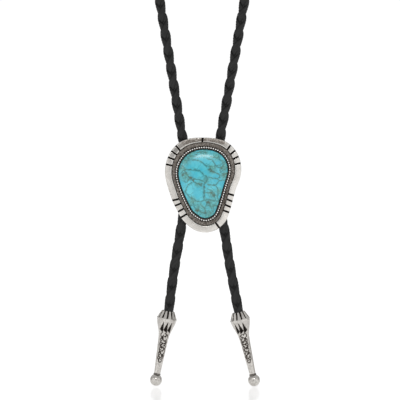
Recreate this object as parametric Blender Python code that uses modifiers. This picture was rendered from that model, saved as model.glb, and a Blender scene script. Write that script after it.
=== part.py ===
"""Bolo tie with a turquoise slide, modelled as it hangs from a neck.

Run it with: blender --background --python part.py
Units are metres, +Z is up and the front of the tie looks along -Y.
The origin is the underside of the cord at the nape, where the loop sits on the neck.
"""
import math

import bmesh
import bpy
from mathutils import Matrix, Vector

MM = 0.001

# Overall layout
SLIDE_DROP = 298.0 * MM        # from the seat on the neck down to the middle of the slide
SLIDE_X = 1.0 * MM             # the slide hangs a little to one side of the cords' middle
CHEST_Y = -118.0 * MM          # depth of the cords' axis in front of the nape
TOUCH_GAP = 0.3 * MM           # between pieces that seat on each other

# Braided cord
CORD_DIAMETER = 5.6 * MM
CORD_CLEARANCE = 0.35 * MM     # between the cord and what grips it
CORD_STEP = 2.2                # spacing of the tube's rings, in diameters
CORD_RESOLUTION = 3            # gives the tube ten sides

# Clip behind the slide
CLIP_LENGTH = 20.0 * MM
CLIP_CENTRE = 7.0 * MM         # above the middle of the slide
CHANNEL_X = 9.9 * MM           # each channel's axis from the middle
CLIP_SHEET = 0.9 * MM
CURL_DEGREES = 300             # how far each edge is rolled round its cord
CURL_STEPS = 20

# Turquoise stone
STONE_WIDTH = 30.0 * MM
STONE_LENGTH = 42.0 * MM
STONE_SHIFT_X = -0.5 * MM      # middle of the stone from the middle of the slide
STONE_SHIFT_Z = 0.9 * MM
STONE_GIRDLE = 2.3 * MM        # height of the straight side above the stone's base
STONE_DOME = 3.4 * MM          # rise of the dome above the girdle
DOME_RINGS = 6
OUTLINE_STEPS = 84             # points round the stone and the setting

# Silver setting, heights from its flat back
PLATE_THICKNESS = 1.4 * MM
BORDER_HEIGHT = 3.0 * MM
BEZEL_HEIGHT = 3.9 * MM
BEZEL_WALL = 0.45 * MM
BEAD_DIAMETER = 1.2 * MM       # the ring of beads round the bezel
FLOOR_REACH = 4.4 * MM         # from the stone's edge to the inside of the border
BORDER_REACH = 8.5 * MM        # from the stone's edge to the outside of the border
GROOVE_WIDTH = 1.0 * MM
GROOVE_BOTTOM = 1.0 * MM       # height of the filed grooves' bottom
GROOVE_INNER_RUNOUT = 0.3 * MM
GROOVE_OUTER_RUNOUT = 1.5 * MM

# Cord tips
TIP_LENGTH = 43.4 * MM         # from the mouth to the middle of the ball
TIP_WALL = 0.85 * MM           # at the mouth
COLLAR_LENGTH = 4.8 * MM
COLLAR_FLARE = 2.2 * MM        # how far the shoulder stands out past the mouth
SOCKET_DEPTH = 10.6 * MM
SHAFT_END_RADIUS = 1.6 * MM
NECK_RING_RADIUS = 1.95 * MM
NECK_RING_LENGTH = 0.8 * MM
BALL_RADIUS = 3.57 * MM
BALL_STEPS = 9
TIP_SIDES = 36
FLUTE_COUNT = 12
FLUTE_WIDTH = 0.95 * MM
FLUTE_END = 0.88               # share of the collar that the flutes run down

# The stone's outline: x as a share of its width, z as a share of its length,
# clockwise from the top, seen from the front
STONE_OUTLINE = (
    (0.02, 0.5), (0.30, 0.455), (0.455, 0.34), (0.5, 0.18), (0.417, -0.03),
    (0.30, -0.31), (0.205, -0.452), (0.033, -0.5), (-0.145, -0.435), (-0.255, -0.34),
    (-0.42, -0.085), (-0.5, 0.14), (-0.446, 0.312), (-0.266, 0.45),
)

# Direction from the slide's middle, share of FLOOR_REACH, share of BORDER_REACH
SETTING_REACH = (
    (0, 0.92, 0.93), (30, 1.02, 0.99), (60, 1.09, 1.02), (90, 1.04, 0.89),
    (120, 1.11, 1.09), (150, 0.98, 1.00), (180, 0.89, 0.96), (210, 0.94, 0.99),
    (240, 0.93, 0.98), (270, 1.08, 1.06), (300, 0.96, 0.97), (330, 0.94, 0.94),
)

# Border section: share of the way out from its inner edge, share of BORDER_HEIGHT
BORDER_SECTION = (
    (1.0, 0.0), (1.0, 0.48), (0.95, 0.68), (0.80, 0.88), (0.50, 1.0), (0.14, 1.0), (0.0, 0.94),
)

# Filed grooves: directions of the outer and the inner end from the slide's middle, in degrees
GROOVES = (
    (91.6, 92.1),
    (125.3, 124.4), (133.4, 131.5), (141.9, 139.0), (151.2, 148.1),
    (56.3, 57.0), (48.2, 49.5), (39.9, 42.0), (31.3, 34.3),
    (341.6, 341.1), (330.7, 329.0), (321.2, 317.4), (313.1, 307.9),
    (205.6, 208.5), (215.2, 218.0), (225.6, 229.0), (234.4, 239.2),
    (289.8, 287.2),
)

# Tip shaft: share of the way from shoulder to ball, share of the radius left to lose
SHAFT_SECTION = ((0.0, 1.0), (0.10, 0.80), (0.22, 0.53), (0.44, 0.33), (0.65, 0.18), (0.87, 0.05))

# Cord tips: name, mouth x, mouth height above the slide's middle, lean outwards in degrees,
# turn of the flutes round the tip in degrees
TIPS = (
    ("left", -20.8 * MM, -77.7 * MM, 10.1, -12),
    ("right", 22.6 * MM, -78.4 * MM, 13.0, -5),
)

# Route of the cord, in mm: x, distance behind the chest, height above the slide's middle.
# The neck loop between the two tops of the clip, from the left leg over the nape to the right
LOOP_ROUTE = (
    (-13.0, 0.0, 34.1), (-16.1, 0.0, 52.7), (-21.2, 0.0, 83.7), (-26.4, 0.0, 114.7),
    (-32.0, 0.4, 148.0), (-37.8, 2.5, 181.0), (-44.3, 9.5, 218.0), (-49.8, 23.0, 248.0),
    (-53.4, 40.0, 268.0), (-55.0, 61.0, 282.0), (-52.8, 83.0, 291.0), (-43.5, 103.0, 297.0),
    (-24.0, 114.8, 300.0), (0.0, 118.0, 300.8), (24.0, 114.8, 300.0), (43.5, 103.0, 297.0),
    (52.8, 83.0, 291.0), (55.0, 61.0, 282.0), (53.4, 40.0, 268.0), (49.8, 23.0, 248.0),
    (44.3, 9.5, 218.0), (37.8, 2.5, 181.0), (32.0, 0.4, 148.0), (26.2, 0.0, 114.7),
    (20.8, 0.0, 83.7), (15.3, 0.0, 52.7), (11.9, 0.0, 34.1),
)
# The hanging tails between the clip and the tips
TAIL_ROUTES = {
    "left": ((-11.1, 0.0, -14.0), (-13.7, 0.0, -29.8), (-16.2, 0.0, -44.6), (-18.5, 0.0, -59.5)),
    "right": ((11.2, 0.0, -14.0), (14.1, 0.0, -29.8), (16.3, 0.0, -44.6), (19.0, 0.0, -59.5)),
}

# Sizes that follow from the ones above
CORD_RADIUS = CORD_DIAMETER / 2
CHANNEL_RADIUS = CORD_RADIUS + CORD_CLEARANCE
SLIDE_Z = -SLIDE_DROP
CLIP_TOP = CLIP_CENTRE + CLIP_LENGTH / 2
CLIP_BOTTOM = CLIP_CENTRE - CLIP_LENGTH / 2
CLIP_FRONT_Y = CHEST_Y - CHANNEL_RADIUS - CLIP_SHEET
SETTING_BACK_Y = CLIP_FRONT_Y - TOUCH_GAP
SOCKET_RADIUS = CORD_RADIUS + CORD_CLEARANCE
MOUTH_RADIUS = SOCKET_RADIUS + TIP_WALL
SHOULDER_RADIUS = MOUTH_RADIUS + COLLAR_FLARE
BEAD_RADIUS = BEAD_DIAMETER / 2
BEZEL_OUTSIDE = TOUCH_GAP + BEZEL_WALL
BEAD_CENTRE = BEZEL_OUTSIDE + BEAD_RADIUS

for old in list(bpy.data.objects):
    bpy.data.objects.remove(old, do_unlink=True)

tie = bpy.data.collections.new("bolo_tie")
cutters = bpy.data.collections.new("cutters")
for collection in (tie, cutters):
    bpy.context.scene.collection.children.link(collection)


def material(name, colour, roughness, metallic):
    """A plain Principled material."""
    made = bpy.data.materials.new(name)
    made.use_nodes = True
    shader = made.node_tree.nodes["Principled BSDF"]
    shader.inputs["Base Color"].default_value = (*colour, 1.0)
    shader.inputs["Roughness"].default_value = roughness
    shader.inputs["Metallic"].default_value = metallic
    return made


SILVER = material("antiqued_silver", (0.78, 0.76, 0.73), 0.28, 1.0)
NICKEL = material("nickel_silver", (0.62, 0.61, 0.58), 0.35, 1.0)
TURQUOISE = material("turquoise", (0.08, 0.47, 0.60), 0.22, 0.0)
LEATHER = material("black_leather", (0.012, 0.012, 0.012), 0.6, 0.0)


def place(name, mesh, finish, collection=tie):
    """Puts a mesh into the scene as an object."""
    if finish is not None:
        mesh.materials.append(finish)
    made = bpy.data.objects.new(name, mesh)
    collection.objects.link(made)
    return made


def smooth(made, degrees):
    """Smooth shading with sharp edges past an angle."""
    made.data.shade_smooth()
    made.data.set_sharp_from_angle(angle=math.radians(degrees))


def loft(name, rings, finish, apex=None):
    """A closed solid through rings of equal count, capped or drawn to a point at the end."""
    shape = bmesh.new()
    loops = [[shape.verts.new(point) for point in ring] for ring in rings]
    count = len(loops[0])
    for lower, upper in zip(loops, loops[1:]):
        for i in range(count):
            j = (i + 1) % count
            shape.faces.new((lower[i], lower[j], upper[j], upper[i]))
    shape.faces.new(list(reversed(loops[0])))
    if apex is None:
        shape.faces.new(loops[-1])
    else:
        top = shape.verts.new(apex)
        for i in range(count):
            shape.faces.new((loops[-1][i], loops[-1][(i + 1) % count], top))
    bmesh.ops.recalc_face_normals(shape, faces=shape.faces)
    mesh = bpy.data.meshes.new(name)
    shape.to_mesh(mesh)
    shape.free()
    return place(name, mesh, finish)


def cut(made, cutter):
    """Cuts one object out of another with a live modifier."""
    modifier = made.modifiers.new("cut", "BOOLEAN")
    modifier.operation = "DIFFERENCE"
    modifier.solver = "EXACT"
    modifier.object = cutter
    cutter.hide_render = True
    cutter.display_type = "WIRE"


def boxes(name, rows):
    """One cutter made of boxes, each with its own placing and size."""
    shape = bmesh.new()
    for placing, size in rows:
        bmesh.ops.create_cube(shape, size=1.0, matrix=placing @ Matrix.Diagonal((*size, 1.0)))
    mesh = bpy.data.meshes.new(name)
    shape.to_mesh(mesh)
    shape.free()
    return place(name, mesh, None, cutters)


def between(before, start, end, after, share):
    """A point of the smooth curve that passes through start and end."""
    bend = 2 * before - 5 * start + 4 * end - after
    twist = 3 * (start - end) + after - before
    return (2 * start + (end - before) * share + bend * share**2 + twist * share**3) / 2


def even_spacing(points, count, closed):
    """Moves along a dense line of points in equal steps."""
    line = points + points[:1] if closed else points
    travelled = [0.0]
    for a, b in zip(line, line[1:]):
        travelled.append(travelled[-1] + (b - a).length)
    steps = count if closed else count - 1
    spaced = []
    index = 0
    for k in range(count):
        target = travelled[-1] * k / steps
        while index < len(line) - 2 and travelled[index + 1] < target:
            index += 1
        run = travelled[index + 1] - travelled[index]
        spaced.append(line[index].lerp(line[index + 1], (target - travelled[index]) / run))
    return spaced


def smooth_loop(points, count, detail=24):
    """Evenly spaced points on a smooth closed curve through the given ones."""
    total = len(points)
    dense = [
        between(points[i - 1], points[i], points[(i + 1) % total], points[(i + 2) % total], k / detail)
        for i in range(total) for k in range(detail)
    ]
    return even_spacing(dense, count, closed=True)


def smooth_line(points, step, detail=16):
    """Evenly spaced points on a smooth open curve through the given ones."""
    padded = [2 * points[0] - points[1], *points, 2 * points[-1] - points[-2]]
    dense = [
        between(*padded[i:i + 4], k / detail)
        for i in range(len(points) - 1) for k in range(detail)
    ]
    dense.append(points[-1].copy())
    length = sum((b - a).length for a, b in zip(dense, dense[1:]))
    return even_spacing(dense, max(3, round(length / step) + 1), closed=False)


def reach_at(degrees, column):
    """A share from SETTING_REACH, blended smoothly between its directions."""
    total = len(SETTING_REACH)
    spot = (degrees % 360) / 360 * total
    index = int(spot) % total
    picked = [SETTING_REACH[(index + k) % total][column] for k in (-1, 0, 1, 2)]
    return between(*picked, spot - int(spot))


def direction(point):
    """Direction of a point from the slide's middle, in degrees."""
    return math.degrees(math.atan2(point.y, point.x))


def offset_outline(outline, distances):
    """Moves each point of a clockwise outline outwards by its own distance."""
    total = len(outline)
    moved = []
    for i, point in enumerate(outline):
        along = (outline[(i + 1) % total] - outline[i - 1]).normalized()
        moved.append(point + Vector((-along.y, along.x)) * distances[i])
    return moved


def outline_point(outline, degrees, detail=10):
    """The point of an outline that lies nearest to a direction from the slide's middle."""
    dense = [a.lerp(b, k / detail)
             for a, b in zip(outline, outline[1:] + outline[:1]) for k in range(detail)]
    return min(dense, key=lambda point: abs((direction(point) - degrees + 180) % 360 - 180))


def slide_point(point, height):
    """A point of the slide, from its outline plane and its height above the setting's back."""
    return Vector((SLIDE_X + point.x, SETTING_BACK_Y - height, SLIDE_Z + point.y))


def slide_ring(outline, height):
    return [slide_point(point, height) for point in outline]


stone_middle = Vector((STONE_SHIFT_X, STONE_SHIFT_Z))
stone_edge = smooth_loop(
    [Vector((x * STONE_WIDTH, z * STONE_LENGTH)) + stone_middle for x, z in STONE_OUTLINE],
    OUTLINE_STEPS,
)
floor_reach = [FLOOR_REACH * reach_at(direction(point), 1) for point in stone_edge]
border_reach = [BORDER_REACH * reach_at(direction(point), 2) for point in stone_edge]


def stone_offset(distance):
    return offset_outline(stone_edge, [distance] * OUTLINE_STEPS)


def make_stone():
    """Domed cabochon that stands on the plate inside the bezel."""
    base = PLATE_THICKNESS + TOUCH_GAP
    rings = [slide_ring(stone_edge, base)]
    for k in range(DOME_RINGS):
        turn = math.radians(90 * k / DOME_RINGS)
        shrunk = [stone_middle + (point - stone_middle) * math.cos(turn) for point in stone_edge]
        rings.append(slide_ring(shrunk, base + STONE_GIRDLE + STONE_DOME * math.sin(turn)))
    made = loft("turquoise_stone", rings, TURQUOISE,
                apex=slide_point(stone_middle, base + STONE_GIRDLE + STONE_DOME))
    smooth(made, 40)


def groove_rows(floor_edge):
    """Placing and size of the box that files each groove across the border."""
    border_edge = offset_outline(stone_edge, border_reach)
    height = BORDER_HEIGHT
    rows = []
    for outer_degrees, inner_degrees in GROOVES:
        outer = outline_point(border_edge, outer_degrees)
        inner = outline_point(floor_edge, inner_degrees)
        out = (outer - inner).normalized()
        outer += out * GROOVE_OUTER_RUNOUT
        inner -= out * GROOVE_INNER_RUNOUT
        middle = slide_point((outer + inner) / 2, GROOVE_BOTTOM + height / 2)
        turn = Matrix.Rotation(-math.atan2(out.y, out.x), 4, "Y")
        rows.append((Matrix.Translation(middle) @ turn,
                     ((outer - inner).length, height, GROOVE_WIDTH)))
    return rows


def make_setting():
    """Plate, grooved border, bezel and bead ring, soldered into one piece of silver."""
    rings = []
    for across, up in BORDER_SECTION:
        reach = [inner + (outer - inner) * across for inner, outer in zip(floor_reach, border_reach)]
        rings.append(slide_ring(offset_outline(stone_edge, reach), BORDER_HEIGHT * up))
    floor_edge = offset_outline(stone_edge, floor_reach)
    rings.append(slide_ring(floor_edge, PLATE_THICKNESS))
    rings.append(slide_ring(stone_offset(BEAD_CENTRE + BEAD_RADIUS), PLATE_THICKNESS))
    for degrees in (0, 45, 90, 135):
        turn = math.radians(degrees)
        rings.append(slide_ring(stone_offset(BEAD_CENTRE + BEAD_RADIUS * math.cos(turn)),
                                PLATE_THICKNESS + BEAD_RADIUS * (1 + math.sin(turn))))
    rings.append(slide_ring(stone_offset(BEZEL_OUTSIDE), PLATE_THICKNESS + BEAD_RADIUS))
    rings.append(slide_ring(stone_offset(BEZEL_OUTSIDE), BEZEL_HEIGHT))
    rings.append(slide_ring(stone_offset(TOUCH_GAP), BEZEL_HEIGHT))
    rings.append(slide_ring(stone_offset(TOUCH_GAP), PLATE_THICKNESS))
    made = loft("slide_setting", rings, SILVER)
    cut(made, boxes("groove_cutter", groove_rows(floor_edge)))
    smooth(made, 35)


def make_clip():
    """Sheet whose two edges are rolled round the cords, behind the slide."""
    radius = CHANNEL_RADIUS + CLIP_SHEET / 2
    half = []
    for k in range(CURL_STEPS + 1):
        turn = math.radians(CURL_DEGREES * (1 - k / CURL_STEPS))
        half.append((CHANNEL_X + radius * math.sin(turn), CHEST_Y - radius * math.cos(turn)))
    section = half + [(-x, y) for x, y in reversed(half)]
    shape = bmesh.new()
    lower = [shape.verts.new((x, y, SLIDE_Z + CLIP_BOTTOM)) for x, y in section]
    edges = [shape.edges.new(pair) for pair in zip(lower, lower[1:])]
    raised = bmesh.ops.extrude_edge_only(shape, edges=edges)["geom"]
    lifted = [item for item in raised if isinstance(item, bmesh.types.BMVert)]
    bmesh.ops.translate(shape, verts=lifted, vec=(0, 0, CLIP_LENGTH))
    mesh = bpy.data.meshes.new("back_clip")
    shape.to_mesh(mesh)
    shape.free()
    made = place("back_clip", mesh, NICKEL)
    wall = made.modifiers.new("sheet", "SOLIDIFY")
    wall.thickness = CLIP_SHEET
    wall.offset = 0.0
    wall.use_even_offset = True
    smooth(made, 35)


def make_cord(name, points):
    """Round tube along a smooth line."""
    line = smooth_line(points, CORD_STEP * CORD_DIAMETER)
    curve = bpy.data.curves.new(name, "CURVE")
    curve.dimensions = "3D"
    curve.bevel_depth = CORD_RADIUS
    curve.bevel_resolution = CORD_RESOLUTION
    curve.use_fill_caps = True
    curve.materials.append(LEATHER)
    spline = curve.splines.new("POLY")
    spline.points.add(len(line) - 1)
    for knot, point in zip(spline.points, line):
        knot.co = (*point, 1.0)
    made = bpy.data.objects.new(name, curve)
    tie.objects.link(made)


def route(rows):
    """Route rows in mm as points of the object."""
    return [Vector((x * MM, CHEST_Y + behind * MM, SLIDE_Z + height * MM))
            for x, behind, height in rows]


def channel_points(side, *heights):
    """Points on a clip channel's axis."""
    return [Vector((side * CHANNEL_X, CHEST_Y, SLIDE_Z + height)) for height in heights]


def make_neck_cord():
    """The worn loop, from one clip channel round the neck to the other."""
    heights = (CLIP_CENTRE + TOUCH_GAP / 2, CLIP_TOP - CORD_RADIUS, CLIP_TOP)
    left = channel_points(-1, *heights)
    right = channel_points(1, *reversed(heights))
    make_cord("neck_cord", left + route(LOOP_ROUTE) + right)


def tip_frame(mouth_x, mouth_height, lean, side):
    """Placing of a tip: its own -Z runs from the mouth to the ball."""
    mouth = Vector((mouth_x, CHEST_Y, SLIDE_Z + mouth_height))
    return Matrix.Translation(mouth) @ Matrix.Rotation(math.radians(-side * lean), 4, "Y")


def make_tail(name, side, placing):
    """A hanging end of the cord, from the clip down into its tip."""
    start = channel_points(side, CLIP_CENTRE - TOUCH_GAP / 2, CLIP_BOTTOM + CORD_RADIUS, CLIP_BOTTOM)
    end = [placing @ Vector((0, 0, -depth)) for depth in (0.0, SOCKET_DEPTH - TOUCH_GAP)]
    make_cord(name + "_tail", start + route(TAIL_ROUTES[name]) + end)


def tip_profile():
    """Half section of a tip as (radius, height), from the socket's bottom round to the ball's."""
    profile = [(0.0, -SOCKET_DEPTH), (SOCKET_RADIUS, -SOCKET_DEPTH), (SOCKET_RADIUS, 0.0),
               (MOUTH_RADIUS, 0.0)]
    ball_top = math.sqrt(BALL_RADIUS**2 - SHAFT_END_RADIUS**2)
    ring_top = TIP_LENGTH - ball_top - NECK_RING_LENGTH
    taper = ring_top - COLLAR_LENGTH
    for along, left in SHAFT_SECTION:
        profile.append((SHAFT_END_RADIUS + (SHOULDER_RADIUS - SHAFT_END_RADIUS) * left,
                        -COLLAR_LENGTH - taper * along))
    profile.append((SHAFT_END_RADIUS, -ring_top))
    for share in (0.25, 0.75):
        profile.append((NECK_RING_RADIUS, -ring_top - NECK_RING_LENGTH * share))
    start = math.asin(SHAFT_END_RADIUS / BALL_RADIUS)
    for k in range(BALL_STEPS + 1):
        turn = start + (math.pi - start) * k / BALL_STEPS
        radius = BALL_RADIUS * math.sin(turn) if k < BALL_STEPS else 0.0
        profile.append((radius, -TIP_LENGTH + BALL_RADIUS * math.cos(turn)))
    return profile


def make_tip(name, placing, flute_turn):
    """Silver tip with a fluted collar, a tapered shaft and a ball."""
    shape = bmesh.new()
    line = [shape.verts.new((radius, 0, height)) for radius, height in tip_profile()]
    for pair in zip(line, line[1:]):
        shape.edges.new(pair)
    mesh = bpy.data.meshes.new(name + "_tip")
    shape.to_mesh(mesh)
    shape.free()
    made = place(name + "_tip", mesh, SILVER)
    made.matrix_world = placing
    turned = made.modifiers.new("turned", "SCREW")
    turned.steps = turned.render_steps = TIP_SIDES
    turned.use_merge_vertices = True
    turned.merge_threshold = 0.00001
    turned.use_smooth_shade = False
    slope = math.atan2(COLLAR_FLARE, COLLAR_LENGTH)
    run = COLLAR_LENGTH * FLUTE_END
    middle = -run / 2 + FLUTE_WIDTH / 2
    radius = MOUTH_RADIUS - COLLAR_FLARE * middle / COLLAR_LENGTH
    edge = FLUTE_WIDTH / math.sqrt(2)
    size = (edge, edge, (run + FLUTE_WIDTH) / math.cos(slope))
    rows = []
    for k in range(FLUTE_COUNT):
        turn = Matrix.Rotation(2 * math.pi * (k + 0.5) / FLUTE_COUNT + flute_turn, 4, "Z")
        seat = Matrix.Translation((radius, 0, middle)) @ Matrix.Rotation(-slope, 4, "Y")
        rows.append((placing @ turn @ seat @ Matrix.Rotation(math.radians(45), 4, "Z"), size))
    cut(made, boxes(name + "_flute_cutter", rows))


make_stone()
make_setting()
make_clip()
make_neck_cord()
for tip_name, tip_x, tip_height, tip_lean, tip_turn in TIPS:
    tip_side = math.copysign(1, tip_x)
    tip_placing = tip_frame(tip_x, tip_height, tip_lean, tip_side)
    make_tail(tip_name, tip_side, tip_placing)
    make_tip(tip_name, tip_placing, math.radians(tip_turn))
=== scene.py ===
# %% [markdown]
# # A bolo tie, dressed for the studio
#
# A bolo tie is a necktie made of one braided leather cord. A silver slide with a
# turquoise stone holds the two halves of the cord together on the chest, and a silver
# tip closes each end. The plain CAD solids are loaded first and stay where they are.
# Each piece made here is laid over one of them, with the detail that the solids lack.

# %% Load the CAD solids
import math

import bmesh
import bpy
import numpy as np
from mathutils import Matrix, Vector


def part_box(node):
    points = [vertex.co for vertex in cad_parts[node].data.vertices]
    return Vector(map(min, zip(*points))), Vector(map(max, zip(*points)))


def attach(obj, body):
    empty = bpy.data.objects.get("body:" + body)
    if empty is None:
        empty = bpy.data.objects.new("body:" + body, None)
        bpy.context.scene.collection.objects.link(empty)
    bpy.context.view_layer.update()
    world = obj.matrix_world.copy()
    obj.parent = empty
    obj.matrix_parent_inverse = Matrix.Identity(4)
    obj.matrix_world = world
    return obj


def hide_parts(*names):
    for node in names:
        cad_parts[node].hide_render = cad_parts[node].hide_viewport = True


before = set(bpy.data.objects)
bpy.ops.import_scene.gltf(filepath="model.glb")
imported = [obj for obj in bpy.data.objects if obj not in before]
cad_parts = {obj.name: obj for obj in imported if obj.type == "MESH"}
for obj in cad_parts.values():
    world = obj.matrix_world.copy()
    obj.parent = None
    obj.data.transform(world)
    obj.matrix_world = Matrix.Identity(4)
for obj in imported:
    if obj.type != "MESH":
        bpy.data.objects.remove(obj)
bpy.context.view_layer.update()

MM = 0.001
print("CAD nodes:", ", ".join(sorted(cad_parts)))

# %% [markdown]
# ## Camera
#
# The tie is seen straight from the front, through a long lens far away that keeps it
# nearly free of perspective. The picture is 248 mm wide at the tie.

# %% Place the camera
CHEST_Y = -118 * MM           # depth of the cord's axis in front of the nape
SLIDE_Z = -298 * MM           # height of the slide's middle
VIEW_X, VIEW_Z = -1.4 * MM, -307 * MM
VIEW_WIDTH, VIEW_DISTANCE = 248 * MM, 850 * MM
SENSOR_WIDTH = 36


def placed(operator, name, **settings):
    """Adds an object with an operator, alone in the selection, and names it."""
    bpy.ops.object.select_all(action="DESELECT")
    operator(**settings)
    made = bpy.context.object
    made.name = made.data.name = name
    return made


camera = placed(bpy.ops.object.camera_add, "studio_camera", rotation=(math.radians(90), 0, 0),
                location=(VIEW_X, CHEST_Y - VIEW_DISTANCE, VIEW_Z))
camera.data.sensor_width = SENSOR_WIDTH
camera.data.lens = SENSOR_WIDTH * VIEW_DISTANCE / VIEW_WIDTH
camera.data.clip_start = 10 * MM
bpy.context.scene.camera = camera
bpy.context.scene.view_settings.view_transform = "Standard"
print("lens", round(camera.data.lens, 1), "mm")

# %% [markdown]
# ## Helpers for materials
#
# Colours are picked as sRGB hex values and turned into the linear values that the
# shader works with. Each helper adds one node and gives the socket to read it by.


# %% Define the material helpers
def colour(tone):
    """Linear RGBA of an sRGB hex colour, or of a plain linear grey."""
    if not isinstance(tone, str):
        return (tone, tone, tone, 1.0)
    parts = [int(tone[i:i + 2], 16) / 255 for i in (1, 3, 5)]
    return (*(p / 12.92 if p <= 0.04045 else ((p + 0.055) / 1.055) ** 2.4 for p in parts), 1.0)


def feed(node, socket, value):
    """Gives an input of a node its value, its hex colour, or the socket that feeds it."""
    if isinstance(value, bpy.types.NodeSocket):
        node.id_data.links.new(value, node.inputs[socket])
    else:
        node.inputs[socket].default_value = colour(value) if isinstance(value, str) else value


def add(tree, kind, inputs=(), output=0, **settings):
    """Adds a node, feeds the inputs that are listed in pairs, and gives one output."""
    node = tree.nodes.new("ShaderNode" + kind)
    for name, value in settings.items():
        setattr(node, name, value)
    for socket, value in inputs:
        feed(node, socket, value)
    return node.outputs[output]


def noise(tree, where, scale, detail=2.0):
    return add(tree, "TexNoise", [("Vector", where), ("Scale", scale), ("Detail", detail)], "Fac")


def attribute(tree, name):
    return add(tree, "Attribute", output="Fac", attribute_name=name)


def combine(tree, operation, *values, clamp=False):
    """One number worked out from up to three."""
    return add(tree, "Math", enumerate(values), operation=operation, use_clamp=clamp)


def remap(tree, value, source=(0.0, 1.0), result=(0.0, 1.0)):
    """Takes one range of values to another, and clamps what lies outside."""
    return add(tree, "MapRange", [("Value", value), ("From Min", source[0]),
                                  ("From Max", source[1]), ("To Min", result[0]),
                                  ("To Max", result[1])])


def ramp(tree, value, *stops):
    """A colour ramp. Each stop is a place and a hex colour or a grey."""
    output = add(tree, "ValToRGB", [("Fac", value)])
    elements = output.node.color_ramp.elements
    for index, (place, tone) in enumerate(stops):
        element = elements[index] if index < 2 else elements.new(place)
        element.position, element.color = place, colour(tone)
    return output


def mix(tree, share, low, high, blend="MIX"):
    """A share of the second colour laid over the first."""
    return add(tree, "Mix", [(0, share), (6, low), (7, high)], 2, data_type="RGBA",
               blend_type=blend)


def bump(tree, height, strength, distance):
    return add(tree, "Bump", [("Height", height), ("Strength", strength),
                              ("Distance", distance * MM)])


def new_material(name, **sockets):
    """A material with a Principled shader, and constants on the shader's own sockets."""
    made = bpy.data.materials.new(name)
    made.use_nodes = True
    shader = made.node_tree.nodes["Principled BSDF"]
    for socket, value in sockets.items():
        feed(shader, socket.replace("_", " "), value)
    return made, made.node_tree, shader


# %% [markdown]
# ## Black leather
#
# The cord is braided from four strips of cowhide, dyed right through, with a dull
# finish that only catches a soft sheen. Its grain is a fine pebble of about 0.4 mm.

# %% Make the leather
leather, tree, shader = new_material("black_cowhide", Roughness=0.62, IOR=1.45,
                                     Specular_IOR_Level=0.32)
strip = add(tree, "UVMap", output="UV", uv_map="strip")
# The strip's map is in mm, and its width runs from 0.1 to 3.25
pebble = noise(tree, strip, 2.4, 3.0)
fibre = add(tree, "Mapping", [("Vector", strip), ("Scale", (0.15, 1.6, 1.0))])
tone = ramp(tree, noise(tree, fibre, 2.0), (0.3, "#1D1D1D"), (0.7, "#2D2D2D"))
# The cut edges of a strip are darker: a stain on the cut edge, and painted shade in the crevices
# between strips
width = add(tree, "SeparateXYZ", [("Vector", strip)], "Y")
beside = combine(tree, "ABSOLUTE", combine(tree, "SUBTRACT", width, 1.675))
edge = remap(tree, beside, (0.65, 1.25))
feed(shader, "Base Color", mix(tree, edge, tone, "#050505"))
feed(shader, "Normal", bump(tree, pebble, 0.35, 0.08))
print(leather.name)

# %% [markdown]
# ## The cord's way
#
# The cord is one length, worn in a loop round the neck and crossed by the slide. Each
# stretch of it is a smooth line through chosen points, the same that the CAD solids
# follow. A point is x, the distance behind the chest, and the height above the slide.

# %% List the cord's points
CHANNEL_X = 9.9               # the clip's channels left and right of the middle
# The seen legs: x to the left, x to the right, height
LEGS = ((9.9, 9.9, 7.15), (9.9, 9.9, 14.2), (9.9, 9.9, 17.0), (13.0, 11.9, 34.1),
        (16.1, 15.3, 52.7), (21.2, 20.8, 83.7), (26.4, 26.2, 114.7))
# The hidden stretch is the same on both sides, and the nape is its middle
HIDDEN = ((32.0, 0.4, 148.0), (37.8, 2.5, 181.0), (44.3, 9.5, 218.0), (49.8, 23.0, 248.0),
          (53.4, 40.0, 268.0), (55.0, 61.0, 282.0), (52.8, 83.0, 291.0), (43.5, 103.0, 297.0),
          (24.0, 114.8, 300.0))
NAPE = (0.0, 118.0, 300.8)
LOOP_ROUTE = (*((-x, 0.0, z) for x, _, z in LEGS), *((-x, y, z) for x, y, z in HIDDEN), NAPE,
              *reversed(HIDDEN), *((x, 0.0, z) for _, x, z in reversed(LEGS)))
# The mouth of each tip: x, height above the slide's middle, lean outwards in degrees
TIPS = {"left": (-20.8, -77.7, 10.1), "right": (22.6, -78.4, 13.0)}
TAILS = {"left": ((-11.1, -14.0), (-13.7, -29.8), (-16.2, -44.6), (-18.5, -59.5)),
         "right": ((11.2, -14.0), (14.1, -29.8), (16.3, -44.6), (19.0, -59.5))}
SOCKET_RUN = 10.3             # how far the cord's end sits in the tip, in mm


def tail_route(side):
    """Points from inside the clip down to the cord's end in the tip."""
    x, height, lean = TIPS[side]
    turn = math.radians(lean)
    rows = [(math.copysign(CHANNEL_X, x), z) for z in (6.85, -0.2, -3.0)]
    rows += [*TAILS[side], (x, height)]
    rows.append((x + math.copysign(SOCKET_RUN * math.sin(turn), x),
                 height - SOCKET_RUN * math.cos(turn)))
    return [(x, 0.0, z) for x, z in rows]


def spline(a, b, c, d, share):
    """A point on the smooth curve from b to c, where a and d are their neighbours."""
    return (2 * b + (c - a) * share + (2 * a - 5 * b + 4 * c - d) * share**2
            + (3 * (b - c) + d - a) * share**3) / 2


def run_of(rows):
    """Distance along the line up to each of its points, in mm."""
    return np.concatenate([[0], np.cumsum(np.linalg.norm(np.diff(rows, axis=0), axis=1))])


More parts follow.
